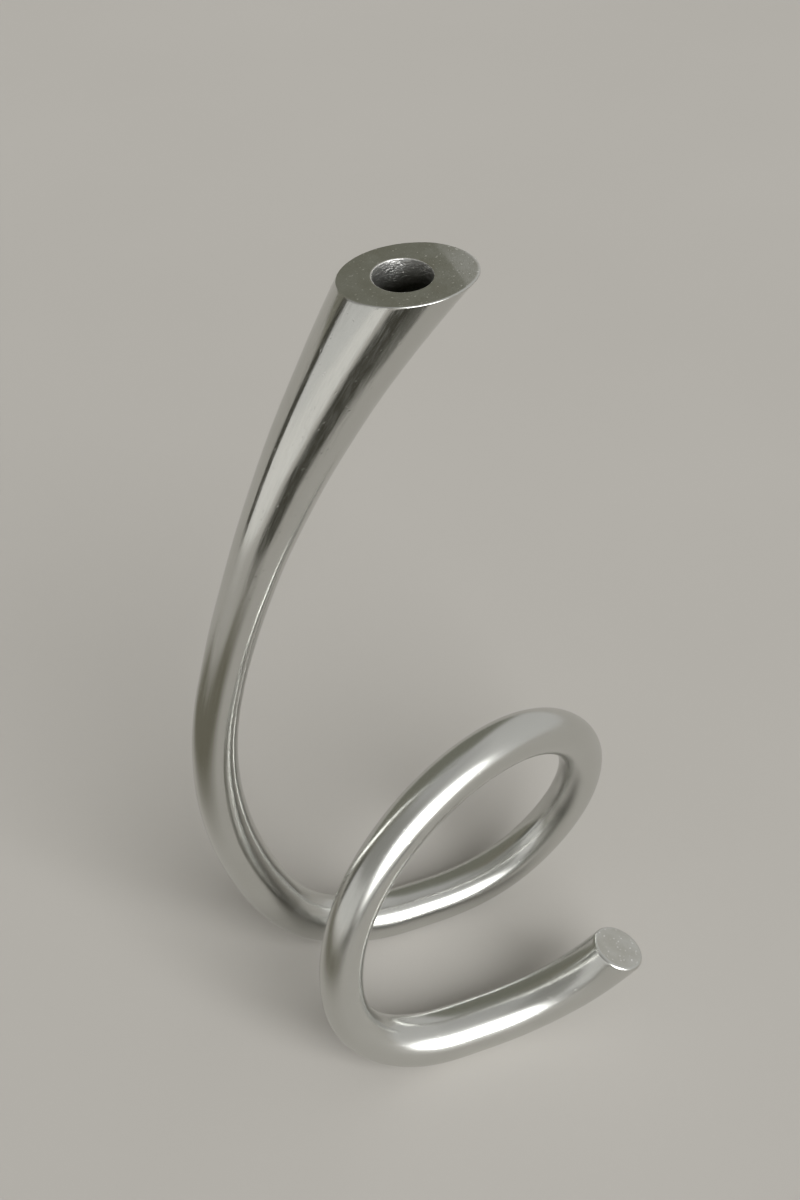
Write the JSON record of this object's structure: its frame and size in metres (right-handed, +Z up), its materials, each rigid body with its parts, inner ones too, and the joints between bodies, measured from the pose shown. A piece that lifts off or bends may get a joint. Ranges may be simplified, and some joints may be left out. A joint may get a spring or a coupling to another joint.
{
  "type": "spiral candle holder",
  "caption": "Polished metal candle holder: a round bar coiled on its side as the base sweeps up into a leaning stem that flares to a level oval head with a bored candle socket.",
  "frame": {"origin": "on the floor, under the middle of the whole part's bounding box", "axes": "+Z up along the candle socket, +X the way that the stem leans, -Y the side that the tail of the coil lies on"},
  "size_m": [0.189, 0.1298, 0.3718],
  "materials": {
    "polished_metal": "hand polished, satin on the cut faces",
    "dowel_steel": "ground",
    "strip_rubber": "matt"
  },
  "bodies": {
    "root": {"socket_head": "polished_metal", "flared_stem": "polished_metal", "coil_bar": "polished_metal", "head_dowel": "dowel_steel", "foot_dowel": "dowel_steel", "rear_strip": "strip_rubber", "front_strip": "strip_rubber"}
  },
  "joints": []
}
